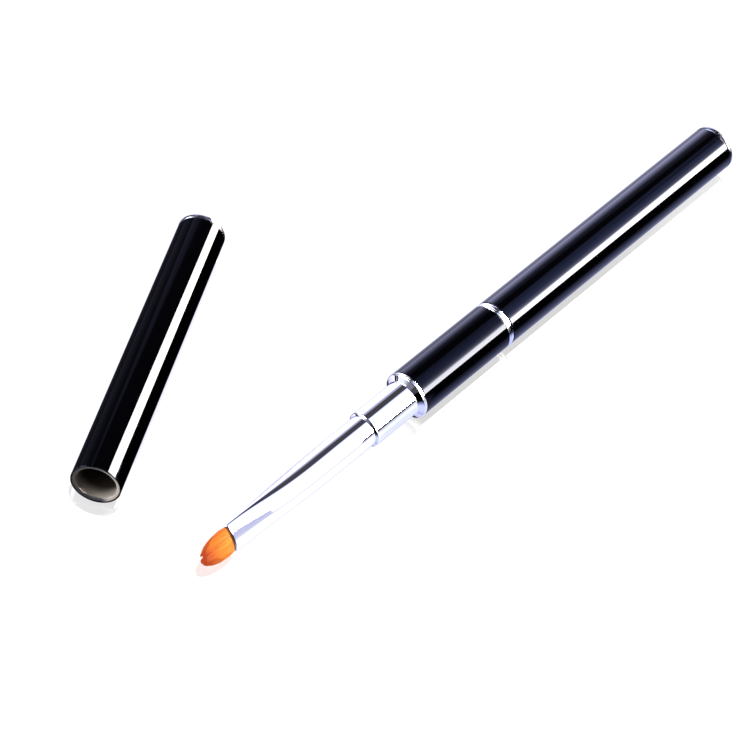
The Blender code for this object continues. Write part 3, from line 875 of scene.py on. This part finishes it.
def floor_in_camera(graph, geometry):
    """Plain white with a faint second image of the pieces, thrown close below them as a
    thick clear sheet does.  Its tilt holds for the main camera; from elsewhere it is a
    plain polish."""
    position, incoming = geometry["Position"], geometry["Incoming"]
    vector = graph.vector
    view_z = incoming.xyz()[2]
    x, y, _ = position.xyz()
    look = (AIM - EYE).normalized()
    right = look.cross(Vector((0, 0, 1))).normalized()
    up = right.cross(look).normalized()
    shift = -right * 0.00072 - up * 0.00226     # of the image, as the camera sees it
    sideways = right * 0.00042                  # further shift around the loose cap's mouth
    inward = (float(CAP_ALONG[0]), float(CAP_ALONG[1]), 0.0)

    grain = position.noise(scale=900.0, detail=3.0)
    main = vector("DOT_PRODUCT", incoming, -look).smooth(over=(0.90, 0.94))
    tuft_zone = x.smooth(over=(-0.120, -0.128)) * y.smooth(over=(0.018, 0.012))
    mouth_zone = vector("LENGTH", vector("SUBTRACT", position, (MOUTH.x, MOUTH.y, FLOOR_Z)))
    mouth_zone = mouth_zone.smooth(over=(0.0120, 0.0115))

    # where the view ray, shifted, meets the height or mouth plane that is mirrored
    height = (0.0017 + FLOOR_DROP) + tuft_zone * 0.0029
    run = (height + shift.z) / view_z
    ahead = vector("DOT_PRODUCT", vector("SUBTRACT", MOUTH + shift + sideways, position),
                   inward)
    run_mouth = ahead / vector("DOT_PRODUCT", incoming, inward)
    run = run * (1.0 - mouth_zone) + run_mouth * mouth_zone
    lift = view_z * run - shift.z
    hop = vector("SUBTRACT", vector("SCALE", incoming, scale=run), shift)
    hop = vector("SUBTRACT", hop, vector("SCALE", sideways, scale=mouth_zone))
    target = vector("ADD", position, hop)
    on_disc = vector("LENGTH", vector("SUBTRACT", target, MOUTH))
    on_disc = on_disc.smooth(over=((BODY_R + 0.05) * MM, (BODY_R - 0.10) * MM))
    tilt = vector("NORMALIZE", vector("ADD", vector("NORMALIZE", hop), incoming))
    normal = graph.signal("ShaderNodeMix", {0: main, 4: (0.0, 0.0, 1.0), 5: tilt},
                          output=1, data_type="VECTOR")
    mirror = graph.signal("ShaderNodeBsdfAnisotropic",
                          {"Color": WHITE, "Roughness": 0.0, "Normal": normal})

    # how strong the image is, zone by zone
    amount = main.smooth(over=(0.0, 1.0), to=(0.03, 0.335)) + grain * 0.004
    past_mouth = vector("DOT_PRODUCT", vector("SUBTRACT", position, MOUTH), inward)
    open_floor = past_mouth.smooth(over=(-0.0004, -0.0012)) * y.smooth(over=(0.018, 0.022))
    open_floor *= 1.0 - mouth_zone
    keep = lift.smooth(over=(0.0001, 0.0004)) * (1.0 - open_floor)
    keep *= 1.0 - mouth_zone * (1.0 - on_disc * 0.85)
    keep *= y.smooth(over=(-0.0045, -0.0040))
    keep *= x.smooth(over=(-0.045, -0.005), to=(1.0, 0.62))
    plated = x.smooth(over=(-0.0925, -0.0940)) * x.smooth(over=(-0.135, -0.130))
    keep *= 1.0 - plated * (y.smooth(over=(0.012, 0.008)) * 0.50)
    keep *= 1.0 - tuft_zone * 0.18
    keep = keep.max(1.0 - main)

    direct = graph.emission(WHITE, 1.0)
    diffuse = graph.signal("ShaderNodeBsdfDiffuse", {"Color": (0.10, 0.10, 0.10)})
    both = graph.signal("ShaderNodeAddShader", {0: direct, 1: diffuse})
    return graph.mix_shader(amount * keep, both, mirror)


def floor():
    obj = sheet("floor", x_segments=24, y_segments=24, size=3.0,
                location=(-0.08, 0.02, FLOOR_Z))
    stage(obj)
    graph = Graph(bpy.data.materials.new("floor_white"))
    path = graph.outputs("ShaderNodeLightPath")
    geometry = graph.outputs("ShaderNodeNewGeometry")
    x, y, _ = geometry["Position"].xyz()
    under_tuft = x.smooth(over=(-0.126, -0.134)) * y.smooth(over=(0.016, 0.010))
    soft = graph.emission(WHITE, 0.50 + under_tuft * 0.60)
    other = graph.mix_shader(path["Is Diffuse Ray"], floor_in_metal(graph, geometry), soft)
    graph.finish(graph.mix_shader(path["Is Camera Ray"], other,
                                  floor_in_camera(graph, geometry)))
    graph.owner.cycles.emission_sampling = "NONE"
    obj.data.materials.append(graph.owner)


def bounce_card():
    """A small card beside the ferrule: polished metal sees it, the camera doesn't."""
    obj = sheet("bounce_card", x_segments=4, y_segments=2, size=0.5,
                location=(-0.10715, -0.060, 0.0055))
    obj.scale = (0.0625, 0.020, 1.0)
    obj.rotation_euler = (math.pi / 2, 0.0, 0.0)
    for flag in ("camera", "diffuse", "shadow", "transmission"):
        setattr(obj, "visible_" + flag, False)
    stage(obj)
    graph, coord = new_material("bounce_card_white")
    pulp = coord.noise(scale=30.0, detail=3.0)
    geometry = graph.outputs("ShaderNodeNewGeometry")
    view_x, view_y, _ = geometry["Incoming"].xyz()
    x, y, _ = geometry["Position"].xyz()
    # X of the metal that sees the card, taken at y = -2 mm; dimmer towards the tuft
    back_to = (-0.002 - y) / view_y.max(0.05)
    foot = (x + view_x * back_to).smooth(over=(TUFT_TIP_X + 0.0170, TUFT_TIP_X + 0.0160))
    tone = foot.mix((1.0, 1.0, 1.03), (0.40, 0.40, 0.58))
    graph.finish(graph.emission(tone, pulp.linear(over=(0.0, 1.0), to=(1.4, 1.7))))
    graph.owner.cycles.emission_sampling = "NONE"
    obj.data.materials.append(graph.owner)


# ---------------------------------------------------------------------- studio
def studio_sky(graph, direction):
    """Colour of the studio as reflections see it."""
    x, y, z = direction.xyz()
    azimuth = graph.math("ARCTAN2", y, x) * DEGREES
    elevation = graph.math("ARCSINE", z) * DEGREES
    # angle about X, from the -Y horizon up
    roll = graph.math("ARCTAN2", z, y * -1.0) * DEGREES

    # key strip, seen as the white stripe along each tube
    low = azimuth.linear(over=(-56.5, -13.0), to=(9.3, 0.4))
    high = (azimuth.linear(over=(-56.5, -14.5), to=(22.5, 31.0))
            - azimuth.linear(over=(-13.6, -11.3), to=(0.0, 5.7)))
    fade = azimuth.linear(over=(-56.5, -13.0), to=(7.0, 1.0))
    strip = (elevation.smooth(over=(low - 1.0, low + 0.8))
             * (1.0 - elevation.smooth(over=(high, high + fade))))
    strip *= azimuth.smooth(over=(-78.0, -72.0)) * azimuth.smooth(over=(6.0, 2.0))

    # glow above it
    glow = ((roll.smooth(over=(104.0, 93.0), to=(0.0, 0.03))
             + roll.smooth(over=(93.5, 88.5), to=(0.0, 1.02)))
            + (roll.smooth(over=(86.0, 55.0), to=(0.0, 1.3))
               + roll.smooth(over=(58.0, 44.0), to=(0.0, 3.6))))
    glow += roll.smooth(over=(46.0, 33.0), to=(0.0, 15.0))
    glow *= elevation.smooth(over=(low - 1.0, low + 1.0))
    gap = azimuth.smooth(over=(-28.0, -14.0)) * elevation.smooth(over=(53.0, 46.0))
    glow *= 1.0 - gap
    glow *= azimuth.smooth(over=(-100.0, -88.0)) * azimuth.smooth(over=(16.0, -4.0))
    glow_hue = roll.smooth(over=(64.0, 36.0)).mix((0.92, 1.0, 1.60), (1.12, 1.0, 0.95))

    # lavender wall on the +Y side
    wall = (elevation.smooth(over=(46.5, 42.5), to=(0.0, 0.45))
            + elevation.smooth(over=(39.0, 14.0), to=(0.0, 4.3)))
    wall *= (azimuth.smooth(over=(65.0, 59.5), to=(0.035, 1.0))
             * azimuth.smooth(over=(16.0, 30.0)))

    # the -X half, with one bright panel and an unlit part
    back = azimuth.smooth(over=(84.0, 104.0)).max(azimuth.smooth(over=(-92.0, -108.0)))
    panel = elevation.smooth(over=(14.0, 20.0)) * elevation.smooth(over=(46.0, 34.0))
    panel *= azimuth.smooth(over=(112.0, 122.0)) * azimuth.smooth(over=(172.0, 160.0))
    back *= (0.10 + elevation.smooth(over=(60.0, 0.0), to=(0.0, 0.75))) + panel * 26.0
    unlit = azimuth.smooth(over=(146.0, 168.0)).max(azimuth.smooth(over=(-96.0, -108.0)))
    unlit *= elevation.smooth(over=(66.0, 54.0))
    back *= 1.0 - unlit

    sky = graph.vector("SCALE", (1.15, 1.0, 0.74), scale=strip * 100.0)
    for level, colour in ((glow, glow_hue), (wall, (0.86, 0.86, 1.25)),
                          (back, (0.94, 0.97, 1.05))):
        sky = graph.vector("ADD", sky, graph.vector("SCALE", colour, scale=level))
    return graph.vector("ADD", sky, (0.062, 0.058, 0.068))


def studio():
    """World: a drawn studio for reflections, a soft slant for diffuse light, white behind."""
    world = bpy.data.worlds.new("studio")
    bpy.context.scene.world = world
    graph = Graph(world, "ShaderNodeOutputWorld")

    def background(colour, strength):
        return graph.signal("ShaderNodeBackground", {"Color": colour, "Strength": strength})

    path = graph.outputs("ShaderNodeLightPath")
    direction = graph.signal("ShaderNodeTexCoord", output="Generated")
    glossy = background(studio_sky(graph, direction), 1.0)
    plain = background(WHITE, 1.0)
    lean = graph.vector("DOT_PRODUCT", direction, (-0.55, 0.45, 0.70))
    ambient = background((0.98, 0.98, 1.0), lean.smooth(over=(-0.3, 1.0), to=(0.30, 2.0)))
    is_plain = path["Is Camera Ray"].max(path["Is Singular Ray"])
    lit = graph.mix_shader(path["Is Diffuse Ray"], glossy, ambient)
    graph.finish(graph.mix_shader(is_plain, lit, plain))
    world.cycles.sampling_method = "NONE"


def camera():
    data = bpy.data.cameras.new("camera")
    data.type = "PERSP"
    data.sensor_width = 36.0
    data.lens = LENS
    data.clip_start = 0.01
    data.clip_end = 50.0
    obj = bpy.data.objects.new("camera", data)
    obj.location = EYE
    obj.rotation_euler = (AIM - EYE).to_track_quat("-Z", "Y").to_euler()
    bpy.context.scene.collection.objects.link(obj)
    bpy.context.scene.camera = obj


floor()
bounce_card()
studio()
camera()
bpy.context.scene.view_settings.view_transform = "Standard"
bpy.context.scene.view_settings.look = "None"
